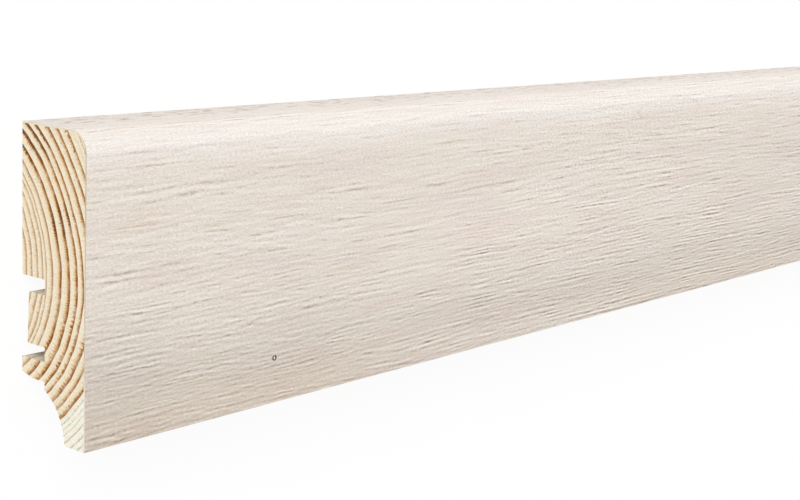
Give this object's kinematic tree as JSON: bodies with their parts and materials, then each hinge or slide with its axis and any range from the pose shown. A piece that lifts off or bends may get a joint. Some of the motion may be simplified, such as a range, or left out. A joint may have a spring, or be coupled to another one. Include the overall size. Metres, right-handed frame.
{
  "type": "skirting board length",
  "caption": "Moulded skirting board length with a rounded top edge, an oak-look veneer on its face and top, and a pine back with clip grooves, a hooked lip and a cable channel.",
  "frame": {"origin": "midway along the length and at the middle of the height, on the plane that the back lies on", "axes": "+X along the length, +Y towards the edge that is the top once fitted, +Z out of the show face; the board lies on its back"},
  "size_m": [2.2, 0.058, 0.018],
  "materials": {
    "pine": "planed softwood, growth rings open at the sawn ends",
    "oak_veneer": "brushed white-washed oak, matt"
  },
  "bodies": {
    "root": {"pine_core": "pine", "oak_veneer": "oak_veneer"}
  },
  "joints": []
}
